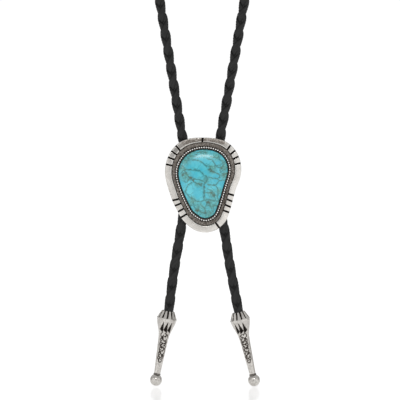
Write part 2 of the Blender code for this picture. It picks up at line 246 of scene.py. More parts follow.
def smooth_line(rows, step, closed=False):
    """Points on the smooth curve through the rows, a step apart, or step of them if closed."""
    rows = np.array(rows, float)
    if closed:
        rows = np.vstack([rows[-1:], rows, rows[:2]])
    else:
        rows = np.vstack([2 * rows[0] - rows[1], rows, 2 * rows[-1] - rows[-2]])
    share = np.linspace(0, 1, 32, endpoint=False)[:, None]
    dense = [spline(*four, share) for four in zip(rows, rows[1:], rows[2:], rows[3:])]
    dense = np.vstack(dense + [rows[-2:-1]])
    run = run_of(dense)
    count = step if closed else round(run[-1] / step) + 1
    spots = np.linspace(0, run[-1], count, endpoint=not closed)
    return np.stack([np.interp(spots, run, dense[:, k]) for k in range(dense.shape[1])], axis=1)


def in_space(rows):
    """Route rows in mm as points of the object, in metres."""
    return np.asarray(rows, float) * MM + (0, CHEST_Y, SLIDE_Z)


BRAID_STEP = 0.85             # mm between the rings of a strip
loop_rows = smooth_line(LOOP_ROUTE, BRAID_STEP)
tail_rows = {side: smooth_line(tail_route(side), BRAID_STEP) for side in TIPS}
print("neck loop", round(run_of(loop_rows)[-1]), "mm, tails",
      [round(run_of(rows)[-1], 1) for rows in tail_rows.values()])

# %% [markdown]
# ## The braid
#
# A four strand round braid lies on a core. Two of its strips wind to the left and two
# to the right. Where two of them cross, one lies over the other, and the next time
# under. The real edge is knobbly, so each strip is a real band that winds round the
# cord's middle, and its distance from the middle swings with the crossings. They cross
# at the cord's two edges once in every half turn, and that is a knob.

# %% Braid four strips round a line
STRIP_RING = 2.14             # mean radius of the strips' middle, in mm
STRIP_SWING = 0.27            # how far a strip moves out and in at the crossings
STRIP_TILT = 0.46             # how far a strip's upper edge stands out, and its lower edge in
STRIP_THICKNESS = 1.2
STRIP_HALF_ANGLE = math.radians(76)
STRIPS = 4
CORE_RADIUS = 2.0             # the strips lie on a core, so no light comes through
ACROSS = np.array([-1.0, -0.9, -0.6, -0.2, 0.2, 0.6, 0.9, 1.0])
NECK_DEPTH = 59               # the loop's middle behind the chest, in mm


def braid_frames(rows):
    """Unit vectors to the side and outwards, and the climb, at each point of the line."""
    along = np.gradient(rows, axis=0)
    along /= np.linalg.norm(along, axis=1)[:, None]
    share = np.clip(rows[:, 1] / 30, 0, 1)
    outward = np.stack([rows[:, 0] * share, rows[:, 1] - NECK_DEPTH, 0 * share], axis=1)
    outward -= along * np.sum(outward * along, axis=1)[:, None]
    outward /= np.linalg.norm(outward, axis=1)[:, None]
    return np.cross(along, outward), outward, along[:, 2]


def turn_outwards():
    """Turns all faces of the piece in hand outwards and ends its editing."""
    bpy.ops.mesh.select_all(action="SELECT")
    bpy.ops.mesh.normals_make_consistent(inside=False)
    bpy.ops.object.mode_set(mode="OBJECT")


def braid(name, rows, turns, swell=0.0, tilt=STRIP_TILT, swing=STRIP_SWING):
    """Four strips and a core. Turns is the angle of the winding at each point of the line."""
    side, outward, climb = braid_frames(rows)
    profile = STRIP_THICKNESS / 2 * (0.25 + 0.75 * np.sqrt(1 - ACROSS**6))
    offsets = np.concatenate([ACROSS, ACROSS[::-1]]) * STRIP_HALF_ANGLE
    lifts = np.concatenate([profile, -profile])
    points, faces, marks = [], [], []
    count, ring = len(rows), len(offsets)
    run = run_of(rows)
    for k in range(STRIPS + 1):
        hand = 1 if k % 2 == 0 else -1
        angle = hand * turns[:, None] + (k // 2) * math.pi + offsets
        swung = hand * swing * np.cos(2 * turns[:, None] + hand * offsets)
        tilted = -hand * tilt * offsets / STRIP_HALF_ANGLE * climb[:, None]
        reach = (STRIP_RING + swell + swung + tilted + lifts)[:, :, None]
        if k == STRIPS:
            angle = np.tile(np.linspace(0, 2 * math.pi, ring, endpoint=False), (count, 1))
            reach = np.full((count, ring, 1), CORE_RADIUS + swell)
        shape = rows[:, None] + reach * (np.cos(angle)[:, :, None] * side[:, None]
                                         + np.sin(angle)[:, :, None] * outward[:, None])
        start = k * count * ring
        points.append(shape.reshape(-1, 3))
        for i in range(count - 1):
            for j in range(ring):
                corners = ((i, j), (i, j + 1), (i + 1, j + 1), (i + 1, j))
                faces.append([start + a * ring + b % ring for a, b in corners])
                marks += corners
        for i, order in ((0, range(ring - 1, -1, -1)), (count - 1, range(ring))):
            faces.append([start + i * ring + j for j in order])
            marks += [(i, j) for j in order]
    mesh = bpy.data.meshes.new(name)
    mesh.from_pydata(in_space(np.vstack(points)).tolist(), [], faces)
    chart = mesh.uv_layers.new(name="strip")
    chart.data.foreach_set("uv", [value for i, j in marks for value in (run[i], j * 0.45 + 0.1)])
    mesh.materials.append(leather)
    mesh.shade_smooth()
    mesh.set_sharp_from_angle(angle=math.radians(60))
    made = bpy.data.objects.new(name, mesh)
    bpy.context.scene.collection.objects.link(made)
    bpy.ops.object.select_all(action="DESELECT")
    bpy.context.view_layer.objects.active = made
    made.select_set(True)
    bpy.ops.object.mode_set(mode="EDIT")
    turn_outwards()
    print(name, len(mesh.polygons), "faces")
    return made


# %% [markdown]
# The knobs sit at known heights on both legs and on both tails. The winding is fitted to
# them, and the hidden stretch behind the neck takes up what is left over in knobs of
# nearly the same length.


# %% Fit the winding to the knobs
def winding(rows, knobs):
    """Angle at each point of a line. Knobs are pairs of a distance and a number of half turns."""
    run = run_of(rows)
    at, count = zip(*knobs)
    start = count[0] - (at[0] - run[0]) / (at[1] - at[0]) * (count[1] - count[0])
    end = count[-1] + (run[-1] - at[-1]) / (at[-1] - at[-2]) * (count[-1] - count[-2])
    return math.pi * np.interp(run, [run[0], *at, run[-1]], [start, *count, end])


def distance_at(rows, height, side):
    """Distance along a line where one of its legs reaches a height."""
    leg = np.flatnonzero(rows[:, 0] * side > 0)
    nearest = leg[np.argmin(np.abs(rows[leg, 2] - height))]
    return run_of(rows)[nearest]


KNOB = 10.4                   # length of a knob in the hidden stretch, in mm
# A notch between two knobs is a quarter turn past a crossing, so it counts as a half
left_low, left_high = distance_at(loop_rows, 43.5, -1), distance_at(loop_rows, 95.3, -1)
right_high, right_low = distance_at(loop_rows, 95.4, 1), distance_at(loop_rows, 44.6, 1)
hidden = round((right_high - left_high) / KNOB)
loop_turns = winding(loop_rows, [(left_low, 0.5), (left_high, 5.5), (right_high, 5.5 + hidden),
                                 (right_low, 10.5 + hidden)])
neck_braid = braid("neck_braid", loop_rows, loop_turns)
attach(neck_braid, "root")
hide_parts("neck_cord")

# %% Braid the hanging tails
tail_braids = {}
for side, rows in tail_rows.items():
    hand = -1 if side == "left" else 1
    low, high = distance_at(rows, -68.2, hand), distance_at(rows, -36.0, hand)
    tail = braid(side + "_tail_braid", rows, winding(rows, [(high, 0.5), (low, 3.5)]),
                 swell=0.32, tilt=0.24, swing=0.06)
    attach(tail, "root")
    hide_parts(side + "_tail")
    tail_braids[side] = tail

# %% [markdown]
# ## Antiqued silver
#
# Sterling silver is darkened all over with a sulphide and rubbed back. The rubbed faces
# turn bright with a satin grain, and the dark stays in grooves, in corners and on the
# sunk floor. An attribute says how dark a point is, from 0, bright, to 1, black, and in a few
# places it also carries painted shade.


# %% Make the silver
def silver_material(name, roughness, scratch, dull, clear):
    """Silver that darkens where the piece's attribute of tarnish and painted shade says so."""
    made, tree, shader = new_material(name, Metallic=1.0)
    dark = attribute(tree, "tarnish_and_shade")
    where = add(tree, "TexCoord", output="Object")
    # Cloudy handling marks about 4 mm wide
    bright = ramp(tree, noise(tree, where, 260.0, 3.0), (0.35, dull), (0.65, clear))
    # The half rubbed floor keeps a mottle of punch marks about 1 mm wide
    uneven = combine(tree, "ADD", noise(tree, where, 1000.0, 1.0), -0.5)
    amount = remap(tree, dark, (0.0, 0.5), (0.12, 0.95))
    spread = combine(tree, "MULTIPLY_ADD", uneven, amount, dark, clamp=True)
    shade = ramp(tree, spread, (0.08, "#FFFFFF"), (0.35, "#A29D99"), (0.65, "#6E6864"),
                 (0.96, "#2A2725"))
    feed(shader, "Base Color", mix(tree, 1.0, bright, shade, "MULTIPLY"))
    feed(shader, "Roughness", remap(tree, spread, result=(roughness, 0.62)))
    # A satin grain of 0.25 mm
    feed(shader, "Normal", bump(tree, noise(tree, where, 4000.0), scratch, 0.02))
    return made


satin_silver = silver_material("antiqued_sterling_satin", 0.20, 0.2, "#D6D2CC", "#E3E0DB")
polished_silver = silver_material("antiqued_sterling_polished", 0.13, 0.12, "#CBC7C2", "#DAD7D2")
# The beads' silver is brighter than the rest: rubbed crowns, and a painted highlight
bead_silver_painted_highlight = silver_material("rubbed_sterling_beads_painted_highlight", 0.24, 0.0, "#EBE9E5", "#F3F1EE")
print(satin_silver.name, polished_silver.name, bead_silver_painted_highlight.name)

# %% [markdown]
# ## Growing a piece ring by ring
#
# The setting and the stone share one outline, the rounded pear of the stone. A filled
# circle is laid along the first ring, and its face is extruded again and again, each
# time moved to the next ring. Every point keeps its seat on the outline in an
# attribute, so the next ring knows where it goes.


# %% Define the ring tools
def start_rings(name, ring):
    """A filled circle whose points lie on the first ring, ready to be extruded."""
    made = placed(bpy.ops.mesh.primitive_circle_add, name, vertices=len(ring), radius=10 * MM,
                  fill_type="NGON")
    made.data.attributes.new("seat", "INT", "POINT").data.foreach_set("value", range(len(ring)))
    made.data.attributes.new("ring", "INT", "POINT")
    made.data.vertices.foreach_set("co", np.asarray(ring).ravel())
    bpy.ops.object.mode_set(mode="EDIT")
    bpy.ops.mesh.select_all(action="SELECT")
    return made


def grow_ring(made, ring, number):
    """Extrudes the selected face and moves its points to a ring."""
    bpy.ops.mesh.extrude_region_move(TRANSFORM_OT_translate={"value": (0, 0, 0)})
    shape = bmesh.from_edit_mesh(made.data)
    seat, order = shape.verts.layers.int["seat"], shape.verts.layers.int["ring"]
    for vertex in shape.verts:
        if vertex.select:
            vertex.co = ring[vertex[seat]]
            vertex[order] = number
    bmesh.update_edit_mesh(made.data)


def finish_rings(made, finish, angle, pointed=False):
    """Closes a grown piece, turns its faces outwards and gives it its material."""
    if pointed:
        bpy.ops.mesh.merge(type="CENTER")
    turn_outwards()
    made.data.materials.append(finish)
    bpy.ops.object.shade_smooth_by_angle(angle=math.radians(angle))
    print(made.name, len(made.data.polygons), "faces")


def stored(made, name):
    """An integer attribute of a piece's points."""
    values = np.zeros(len(made.data.vertices), int)
    made.data.attributes[name].data.foreach_get("value", values)
    return values


def places(made):
    """A piece's points."""
    values = np.zeros(len(made.data.vertices) * 3)
    made.data.vertices.foreach_get("co", values)
    return values.reshape(-1, 3)


def paint(made, name, values):
    """Writes one number a point, such as how dark the silver is there."""
    layer = made.data.attributes.new(name, "FLOAT", "POINT")
    layer.data.foreach_set("value", np.asarray(values, float))


# %% [markdown]
# ## Outlines of the slide
#
# The stone's outline is a smooth closed curve through 14 points. The floor and the
# border follow it at their own distances, which vary a little round the slide because
# the real one is cut by hand.

# %% Lay out the outlines
SLIDE_X = 1.0
SETTING_BACK = -4.35          # the setting's flat back, in mm from the cord's axis
STONE_SIZE = np.array([30.0, 42.0])
STONE_MIDDLE = np.array([-0.5, 0.9])
STONE_OUTLINE = np.array([
    (0.02, 0.5), (0.3, 0.455), (0.455, 0.34), (0.5, 0.18), (0.417, -0.03),
    (0.3, -0.31), (0.205, -0.452), (0.033, -0.5), (-0.145, -0.435), (-0.255, -0.34),
    (-0.42, -0.085), (-0.5, 0.14), (-0.446, 0.312), (-0.266, 0.45),
])
# Direction from the slide's middle, share of the floor's reach, share of the border's reach
SETTING_REACH = np.array([
    (0, 0.92, 0.93), (30, 1.02, 0.99), (60, 1.09, 1.02), (90, 1.04, 0.89),
    (120, 1.11, 1.09), (150, 0.98, 1), (180, 0.89, 0.96), (210, 0.94, 0.99),
    (240, 0.93, 0.98), (270, 1.08, 1.06), (300, 0.96, 0.97), (330, 0.94, 0.94),
])
FLOOR_REACH, BORDER_REACH = 4.4, 8.5
SEATS = 1080


def direction(points):
    """Direction of points from the slide's middle, in degrees."""
    return np.degrees(np.arctan2(points[:, 1], points[:, 0])) % 360


def outward_from(outline):
    """Unit vectors square to a clockwise outline."""
    along = np.roll(outline, -1, axis=0) - np.roll(outline, 1, axis=0)
    along /= np.linalg.norm(along, axis=1)[:, None]
    return np.stack([-along[:, 1], along[:, 0]], axis=1)


def in_slide(points, heights):
    """Points of the slide in space, from its own plane and the height above its back, in mm."""
    heights = np.broadcast_to(heights, len(points))
    rows = np.stack([SLIDE_X + points[:, 0], SETTING_BACK - heights, points[:, 1]], axis=1)
    return in_space(rows)


def slide_plane(made):
    """The inverse: a piece's points in the slide's plane, and their heights, in mm."""
    rows = (places(made) - (0, CHEST_Y, SLIDE_Z)) / MM
    return rows[:, [0, 2]] - (SLIDE_X, 0), SETTING_BACK - rows[:, 1]


stone_edge = smooth_line(STONE_OUTLINE * STONE_SIZE + STONE_MIDDLE, SEATS, closed=True)
outward = outward_from(stone_edge)


def share_at(column):
    """A column of the reach table at each seat, blended smoothly."""
    count = len(SETTING_REACH)
    values = SETTING_REACH[:, column]
    spot = direction(stone_edge) / (360 / count)
    index = spot.astype(int)
    part = spot - index
    return spline(*(values[(index + k) % count] for k in (-1, 0, 1, 2)), part)


floor_reach = FLOOR_REACH * share_at(1)
border_reach = BORDER_REACH * share_at(2)
print("stone's edge", round(run_of(np.vstack([stone_edge, stone_edge[:1]]))[-1], 1), "mm round")

# %% [markdown]
# ## The silver setting
#
# A flat back plate carries a heavy domed border, a sunk dark floor and a thin bezel that
# holds the stone. It is soldered into one piece, so it is grown as one: from the back
# plate up the outside of the border, over its crown, down to the floor, and in to the
# bezel.

# %% Grow the setting
PLATE, BEZEL_TOP = 1.4, 3.9
BEAD = 1.2                    # width of the beaded wire, in mm
TOUCH, BEZEL_WALL = 0.3, 0.45
BEZEL_OUT = TOUCH + BEZEL_WALL
BEAD_RING = BEZEL_OUT + BEAD / 2

# Rings of the setting in each zone: share of the way outwards in the border or the
# floor, or distance from the stone in mm, then height in mm and tarnish
ZONES = {
    "border": (
        (0.985, 0, 0.1), (1, 0.12, 0.1), (1, 0.9, 0.1), (1, 1.7, 0.03),
        (0.994, 2.02, 0), (0.978, 2.28, 0), (0.952, 2.5, 0), (0.918, 2.65, 0),
        (0.88, 2.735, 0), (0.85, 2.77, 0), (0.77, 2.815, 0), (0.67, 2.862, 0),
        (0.56, 2.906, 0), (0.45, 2.943, 0), (0.34, 2.972, 0), (0.24, 2.992, 0),
        (0.15, 3, 0), (0.09, 2.96, 0.03), (0.045, 2.83, 0.1), (0.015, 2.57, 0.3),
        (0, 2.2, 0.55), (0, 1.7, 0.7), (0, 1.45, 0.75)),
    "floor": (
        (0.98, 1.4, 0.65), (0.9, 1.4, 0.5), (0.75, 1.42, 0.46), (0.6, 1.42, 0.46),
        (0.42, 1.42, 0.49), (0.22, 1.42, 0.57), (0.08, 1.4, 0.83), (0, 1.4, 1.03)),
    "bezel": (
        (BEAD_RING, 1.45, 1), (BEZEL_OUT + 0.1, 1.45, 1), (BEZEL_OUT, 1.5, 1),
        (BEZEL_OUT, 2.4, 0.95), (BEZEL_OUT - 0.02, 3.4, 0.85), (BEZEL_OUT - 0.1, 3.75, 0.7),
        (BEZEL_OUT - 0.22, BEZEL_TOP, 0.6), (TOUCH + 0.1, BEZEL_TOP - 0.02, 0.75),
        (TOUCH, 3.75, 1), (TOUCH, 1.4, 1)),
}
SECTION = [(zone, *row) for zone, rows in ZONES.items() for row in rows]


def setting_outline(zone, amount):
    """The plane outline of one ring of the setting."""
    inside = BEAD_RING + BEAD / 2
    if zone == "border":
        reach = floor_reach + (border_reach - floor_reach) * amount
    elif zone == "floor":
        reach = inside + (floor_reach - inside) * amount
    else:
        reach = np.full(SEATS, amount)
    return stone_edge + outward * reach[:, None]


first, *others = SECTION
setting = start_rings("silver_setting", in_slide(setting_outline(*first[:2]), first[2]))
for number, (zone, amount, height, _) in enumerate(others, 1):
    grow_ring(setting, in_slide(setting_outline(zone, amount), height), number)
finish_rings(setting, satin_silver, 40)

# %% [markdown]
# The notches are listed by the directions of their outer and inner ends. Each is a
# straight file stroke, so a point's distance from the stroke's line tells if it is cut.
# Painted shade also darkens the silver in places: in a band along the top inside the rim,
# faintly at the rim on the left, and on the floor at the lower right.

# %% File the notches
NOTCHES = (
    (91.6, 92.1),
    (125.3, 124.4), (133.4, 131.5), (141.9, 139.0), (151.2, 148.1),
    (56.3, 57.0), (48.2, 49.5), (39.9, 42.0), (31.3, 34.3),
    (341.6, 341.1), (330.7, 329.0), (321.2, 317.4), (313.1, 307.9),
    (205.6, 208.5), (215.2, 218.0), (225.6, 229.0), (234.4, 239.2),
    (289.8, 287.2),
)
NOTCH_HALF, NOTCH_BOTTOM, NOTCH_RISE = 0.46, 1.05, 0.25
SIDE_HEIGHT = 0.5             # below this height the plate's rim and back stay free of notches and painted shade
# Painted shade: zone, lowest height, directions where the painted shade comes and goes,
# shares of the way outwards, and how much darker the silver is there
PAINTED_SHADES = (
    ("border", SIDE_HEIGHT, (56, 68, 112, 128), (0.1, 0.26, 0.75, 1), (0, 0.42, 0.42, 0.16)),
    ("border", -1, (150, 170, 215, 235), (0.5, 0.85), (0, 0.13)),
    ("floor", -1, (280, 300, 335, 355), (0, 1), (0.12, 0.12)),
)


def outline_point(outline, degrees):
    """The point of an outline in a direction from the slide's middle."""
    apart = np.abs((direction(outline) - degrees + 180) % 360 - 180)
    return outline[np.argmin(apart)]


plane, height = slide_plane(setting)
turned = direction(plane)
zones, shares, _, shades = (np.array(column)[stored(setting, "ring")] for column in zip(*SECTION))
tarnish_and_shade = shades.copy()
# Painted shade is added here: a dark band along the top of the border, a faint one at the left
# rim, and on the floor at the lower right
for zone, lowest, turns, steps, amounts in PAINTED_SHADES:
    here = (zones == zone) & (height > lowest)
    tarnish_and_shade += here * np.interp(turned, turns, (0, 1, 1, 0)) * np.interp(shares, steps, amounts)
border_edge, floor_edge = setting_outline("border", 1.0), setting_outline("border", 0.0)
for outer_turn, inner_turn in NOTCHES:
    outer, inner = outline_point(border_edge, outer_turn), outline_point(floor_edge, inner_turn)
    line = (outer - inner) / np.linalg.norm(outer - inner)
    off = plane - inner
    aside = np.abs(off[:, 0] * line[1] - off[:, 1] * line[0])
    along = off @ line
    near = (zones == "border") & (along > -1.5) & (height > SIDE_HEIGHT)
    cut = np.clip((NOTCH_HALF + 0.10 - aside) / 0.14, 0, 1) * near
    bottom = NOTCH_BOTTOM + NOTCH_RISE * (aside / NOTCH_HALF) ** 2
    height = np.where((cut > 0) & (height > bottom), height + (bottom - height) * cut, height)
    tarnish_and_shade = np.maximum(tarnish_and_shade, cut)
setting.data.vertices.foreach_set("co", in_slide(plane, height).ravel())
setting.data.update()
paint(setting, "tarnish_and_shade", tarnish_and_shade)
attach(setting, "root")
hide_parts("slide_setting")
print(len(NOTCHES), "notches")

# %% [markdown]
# ## The beaded wire
#
# A row of small beads runs round the bezel, which silversmiths buy as drawn wire. One
# bead is a low ball of a few dozen faces, because there are so many, and it is copied
# along the outline. The dark stays between the beads, and their crowns are bright: rubbed,
# and made of a brighter silver than the rest as a painted highlight.

# %% String the beads
BEAD_PITCH = 1.45
BEAD_RADIUS = 0.58
BEAD_HEIGHT = 0.75            # of a ball's middle over the plate
CROWN_SQUASH, FOOT_STRETCH = 0.45, 1.4
CLEAN_HEIGHT = 0.76           # the crown is rubbed bright from here upwards
bead_line = stone_edge + outward * BEAD_RING
bead_run = run_of(np.vstack([bead_line, bead_line[:1]]))[-1]
bead_count = round(bead_run / BEAD_PITCH)
bead_places = smooth_line(bead_line[::8], bead_count, closed=True)
bead = placed(bpy.ops.mesh.primitive_uv_sphere_add, "bead_wire", segments=10, ring_count=7,
              radius=BEAD_RADIUS * MM)
bpy.ops.object.shade_smooth()
ball = places(bead)
ball[:, 1] *= np.where(ball[:, 1] < 0, CROWN_SQUASH, FOOT_STRETCH)
copies = []
for seat in in_slide(bead_places, PLATE + BEAD_HEIGHT):
    copy = bead.copy()
    copy.data = bead.data.copy()
    copy.data.vertices.foreach_set("co", (ball + seat).ravel())
    bpy.context.scene.collection.objects.link(copy)
    copy.select_set(True)
    copies.append(copy)
bpy.data.objects.remove(bead)
bpy.context.view_layer.objects.active = copies[0]
bpy.ops.object.join()
beads = bpy.context.object
beads.name = beads.data.name = "bead_wire"
beads.data.materials.append(bead_silver_painted_highlight)
crown = slide_plane(beads)[1] - PLATE
paint(beads, "tarnish_and_shade", np.clip((CLEAN_HEIGHT - crown) / 0.08, 0, 1))
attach(beads, "root")
print(bead_count, "beads")

# %% [markdown]
# ## The turquoise
#
# The stone is a cabochon, ground flat below and domed above, with a short straight side
# that the bezel grips. Its rings draw in up the curve of a quarter ellipse and close in
# a point. They lie close together, because the veins are painted on its points.

# %% Grow the stone
STONE_RINGS = 76
STONE_SIDE, STONE_RISE = 2.3, 3.4
STONE_BASE = PLATE + TOUCH
stone_edge_half = stone_edge[::2]
stone = start_rings("turquoise_cabochon", in_slide(stone_edge_half, STONE_BASE))
for k in range(STONE_RINGS):
    share = 1 - k / STONE_RINGS
    turn = math.acos(share)
    ring = STONE_MIDDLE + (stone_edge_half - STONE_MIDDLE) * share
    grow_ring(stone, in_slide(ring, STONE_BASE + STONE_SIDE + STONE_RISE * math.sin(turn)), k + 1)

# %% [markdown]
# The veins are the mother rock that fills the cracks of the turquoise. Each is drawn as
# a width and a row of points in mm from the slide's middle, and each pocket as a spot
# with a size. The material colours a point by how near it is to them.

# %% Draw the veins
VEINS = (
    (0.32, (-12, 15.4), (-7.3, 15.6), (-3, 15.2), (-1.3, 14.3), (0, 12.9), (1.7, 11.9),
     (4.05, 11.3)),
    (0.36, (-11.8, 9.7), (-8.6, 9.5), (-5.6, 9.2), (-2.4, 8.7), (-1.1, 7.5), (0, 6), (1.3, 5.8),
     (2.2, 4.3), (1.9, 2.8), (0.8, 1.3), (0, 0.3)),
    (0.3, (1.9, 16.4), (4.7, 15.6), (5.8, 14.6), (6.8, 12.4), (6.7, 10.5)),
    (0.28, (9.2, 17.8), (9.8, 15.6), (11.7, 14.2), (14.1, 13.9)),
    (0.28, (6.8, 12.2), (9.6, 10.5), (11.5, 11.6), (12.4, 13.3)),
    (0.32, (5.8, 8.4), (7.7, 7.5), (9.8, 6.3), (9.6, 4.8), (8.3, 4.1), (5.1, 4.3), (2.8, 5)),
    (0.28, (9.8, 9.5), (10.9, 7.3), (12.6, 6.7), (14.1, 7.5)),
    (0.32, (8.3, 4.1), (9.6, 2.8), (8.5, 2), (7.7, 0.5), (6.8, 0), (2.3, 0.4)),
    (0.26, (9.6, 2.8), (12.6, 3.3)),
    (0.3, (-11.8, 9.5), (-10.9, 7.3), (-9.4, 5.4), (-7.3, 3.7), (-6.2, 2), (-4.7, 1.3),
     (-3, 0.5), (-1.7, 0.9)),
    (0.3, (-6.6, 3.9), (-4.7, 3.7), (-2.6, 3.5), (-0.9, 2.6), (0.6, 1.6)),
    (0.3, (-7.3, 1.6), (-9.6, 0.5), (-10.5, -1.4), (-10.9, -2.6), (-11.5, -3.6)),
    (0.5, (0, 0.6), (0, -1.5), (0.1, -3.7), (0.2, -6.4), (0, -8.8)),
    (0.32, (0.2, -4.3), (2.3, -4.7), (4.05, -4.3)),
    (0.28, (6.4, -6.4), (7, -7.9), (6.8, -9.4)),
    (0.28, (7.5, -0.7), (8.5, -1.9), (8.7, -4.9), (8.3, -7.5), (9, -9.4)),
    (0.34, (-11.5, -3.7), (-9.2, -6.9), (-6.8, -8.1), (-5.1, -9.4), (-2.6, -10.1), (-0.9, -9.6),
     (2.3, -8.6), (4.7, -9.2), (6.6, -9.6), (8.7, -9.6)),
    (0.3, (-6.6, -10.7), (-6, -13), (-4.7, -14.8), (-3, -15.8)),
    (0.34, (-3, -15.8), (-0.9, -16.7), (1.1, -17.5)),
    (0.42, (0.8, -13.3), (0.6, -14.8), (1.1, -16.5), (1.3, -18.6)),
    (0.28, (0.8, -13), (2.5, -10)),
    (0.28, (3, -12.2), (4.7, -13), (7.3, -12.2), (8.3, -13)),
    (0.26, (5.5, -13.5), (6, -15), (5.5, -17.1)),
    (0.22, (-7.8, -7.8), (-6.2, -10.1), (-6.6, -12)),
    (0.24, (-2.4, -11.3), (-0.1, -13.6), (0.7, -15.1)),
    (0.24, (3, -10.5), (4.5, -13.6), (5.3, -15.9)),
    (0.22, (1.4, -9.7), (2.2, -12), (3.7, -12.8)),
    (0.22, (-8.8, -12.2), (-6.4, -12.6), (-3.6, -11.6)),
    (0.24, (2.2, -2.1), (5.3, -3.6), (6.8, -5.9)),
    (0.22, (-7.8, 21), (-4.7, 20.2), (-0.9, 20.6), (2.4, 19.9)),
    (0.22, (-12.4, 18.6), (-10.1, 17.5), (-7, 17.9), (-3.8, 17.2)),
    (0.24, (3.7, 17.5), (6.8, 17.1), (9.9, 15.6), (12.9, 14.8)),
    (0.22, (6.8, 11.7), (9.9, 12.5), (12.2, 14)),
    (0.22, (9.9, 7.9), (12.2, 9.4), (13.9, 10.6)),
    (0.22, (-14, 12.4), (-12.2, 11.2), (-11.9, 9.6), (-14.3, 7.5)),
    (0.22, (-12.8, 2.6), (-10.4, 1.6), (-9.4, 3.6)),
    (0.22, (-3.4, -18.4), (-1.2, -17)),
    (0.22, (2.9, -15.4), (4.4, -17), (3.1, -19.2)),
)
POCKETS = (
    (3.4, 9.9, 1), (4.9, 8.8, 1.2), (-8.3, 4.3, 1.7), (-6.6, 3.2, 1), (-11.1, 7.5, 0.9),
    (-12.6, 6.2, 1), (-1.7, 0.5, 1.3), (0.2, -0.9, 0.7), (4.7, -4.7, 1.2), (6.2, -5.8, 1.3),
    (-3.9, -15.4, 1.5), (3, -10.5, 1.3), (-4.7, 18.8, 0.7), (-2.2, 20.1, 0.9), (11.9, 6.5, 1.3),
    (0.9, -16.8, 0.9), (10.6, 10.2, 0.8), (-9.4, 16.6, 0.8),
)
# Patches where the stone is greener and its web is close: middle and size
GREENS = ((12.6, 11.4, 3.8), (-11.6, 15, 3.6), (-8, 18.8, 3.4), (2.3, -19, 4.8), (13.2, 6.4, 3.4),
          (-3, -14.5, 4.6), (-11.4, 5.8, 3.8), (5, -12, 4.6), (-7.5, -10, 3.4), (1.6, 3.5, 2.4),
          (5.5, -5.5, 3.2), (5, 10, 3.2), (0.5, 20.5, 3.6), (8, 18, 3.2), (-3.6, 0.6, 2.2),
          (9.4, -3.5, 2.4), (-13.6, 10.5, 2.6))
VEIN_REACH = 3.6              # nearness is painted this many vein widths far


def distance_to_line(spots, a, b):
    """Distance of spots from the straight stretch between two points."""
    a, b = np.array(a, float), np.array(b, float)
    share = np.clip((spots - a) @ (b - a) / ((b - a) @ (b - a)), 0, 1)
    return np.linalg.norm(spots - a - share[:, None] * (b - a), axis=1)


finish_rings(stone, satin_silver, 40, pointed=True)
spots, _ = slide_plane(stone)
# A small waver, in mm, keeps the drawn lines from looking ruled
waver = np.stack([np.sin(spots[:, 1] * 2.3 + 1.1 * np.sin(spots[:, 0] * 1.9)),
                  np.sin(spots[:, 0] * 2.6 + 1.3 * np.sin(spots[:, 1] * 2.1))], axis=1) * 0.13
vein = np.zeros(len(spots))
for width, *line in VEINS:
    for a, b in zip(line, line[1:]):
        near = distance_to_line(spots + waver, a, b)
        vein = np.maximum(vein, np.clip(1 - near / (width * VEIN_REACH), 0, 1))
pocket, green = np.zeros(len(spots)), np.zeros(len(spots))
for x, z, size in POCKETS:
    near = np.linalg.norm((spots + waver * 2 - (x, z)) * (1.0, 1.25), axis=1)
    pocket = np.maximum(pocket, np.clip(1.3 - near / (size * 1.3), 0, 1))
for x, z, size in GREENS:
    green = np.maximum(green, np.clip(1.25 - np.linalg.norm(spots - (x, z), axis=1) / size, 0, 1))
for name, values in (("vein", vein), ("pocket", pocket), ("green", green)):
    paint(stone, name, values)
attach(stone, "root")
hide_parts("turquoise_stone")
print(len(VEINS), "veins,", len(POCKETS), "pockets")

# %% [markdown]
# Turquoise polishes to a waxy gloss. Its copper makes it sky blue, and iron turns
# patches of it green. On top lie the drawn veins and a fine web of hairlines, the edges
# of crooked cells, about 5 mm wide all over the stone and 2 mm in the green patches.

# %% Make the turquoise
turquoise, tree, shader = new_material("polished_turquoise", Roughness=0.18, IOR=1.61)
where = add(tree, "TexCoord", output="Object")
patch = attribute(tree, "green")
cloud = noise(tree, where, 230.0, 5.0)
drift = noise(tree, where, 420.0, 4.0)
fray = noise(tree, where, 800.0, 3.0)
sky = ramp(tree, cloud, (0.34, "#47BDD2"), (0.66, "#65D1DE"))
body = mix(tree, combine(tree, "MULTIPLY", patch, drift), sky, "#68AA94")
# The patches are mottled with small darker grains of the mother rock
grain = remap(tree, noise(tree, where, 1150.0, 4.0), (0.5, 0.64), (0.0, 0.6))
body = mix(tree, combine(tree, "MULTIPLY", patch, grain), body, "#3F7F7C")
bent = add(tree, "Mix", [(0, 0.0035), (4, where), (5, drift.node.outputs["Color"])], 1,
           data_type="VECTOR")


def hairlines(scale, thick):
    """Lines along the edges of crooked cells, as a value from 0 to 1."""
    cells = add(tree, "TexVoronoi", [("Vector", bent), ("Scale", scale)], "Distance",
                feature="DISTANCE_TO_EDGE")
    return remap(tree, cells, (thick * 0.3, thick), (1.0, 0.0))


broken = remap(tree, cloud, (0.45, 0.6), (0.12, 0.5))
wide = combine(tree, "MULTIPLY", hairlines(210.0, 0.06), broken)
close = combine(tree, "MULTIPLY", combine(tree, "MULTIPLY", hairlines(430.0, 0.11), patch), 0.62)
